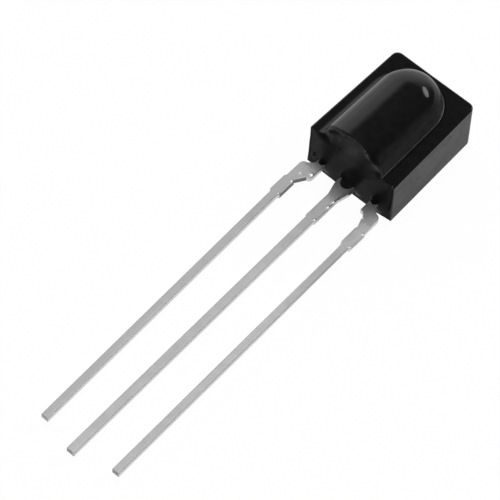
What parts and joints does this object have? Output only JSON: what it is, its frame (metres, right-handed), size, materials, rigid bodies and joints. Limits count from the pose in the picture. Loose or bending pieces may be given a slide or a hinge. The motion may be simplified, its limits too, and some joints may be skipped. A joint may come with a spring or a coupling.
{
  "type": "infrared receiver module",
  "caption": "Infrared receiver in a dark cast epoxy case with a half-round lens that ends in a dome, lying on its back with its stamped, tinned leads.",
  "frame": {"origin": "centre of the flat back of the case, which is the face that the part lies on", "axes": "+X across the case, towards the supply lead; +Y along the case, from the leads to the dome end; +Z out of the back, towards the lens"},
  "size_m": [0.006, 0.0301, 0.0054],
  "materials": {
    "epoxy": "glossy cast epoxy, dark to the eye and clear to infrared light",
    "tinned_lead": "satin tin plating on a stamped strip",
    "silicon": "polished silicon",
    "die_adhesive": "matte filled resin",
    "bond_wire": "drawn gold wire"
  },
  "bodies": {
    "root": {"encapsulation": "epoxy", "output_lead": "tinned_lead", "ground_lead": "tinned_lead", "supply_lead": "tinned_lead", "photodiode_chip": "silicon", "receiver_chip": "silicon", "photodiode_adhesive": "die_adhesive", "receiver_adhesive": "die_adhesive", "diode_wire": "bond_wire", "output_wire": "bond_wire", "supply_wire": "bond_wire", "ground_wire": "bond_wire"}
  },
  "joints": []
}
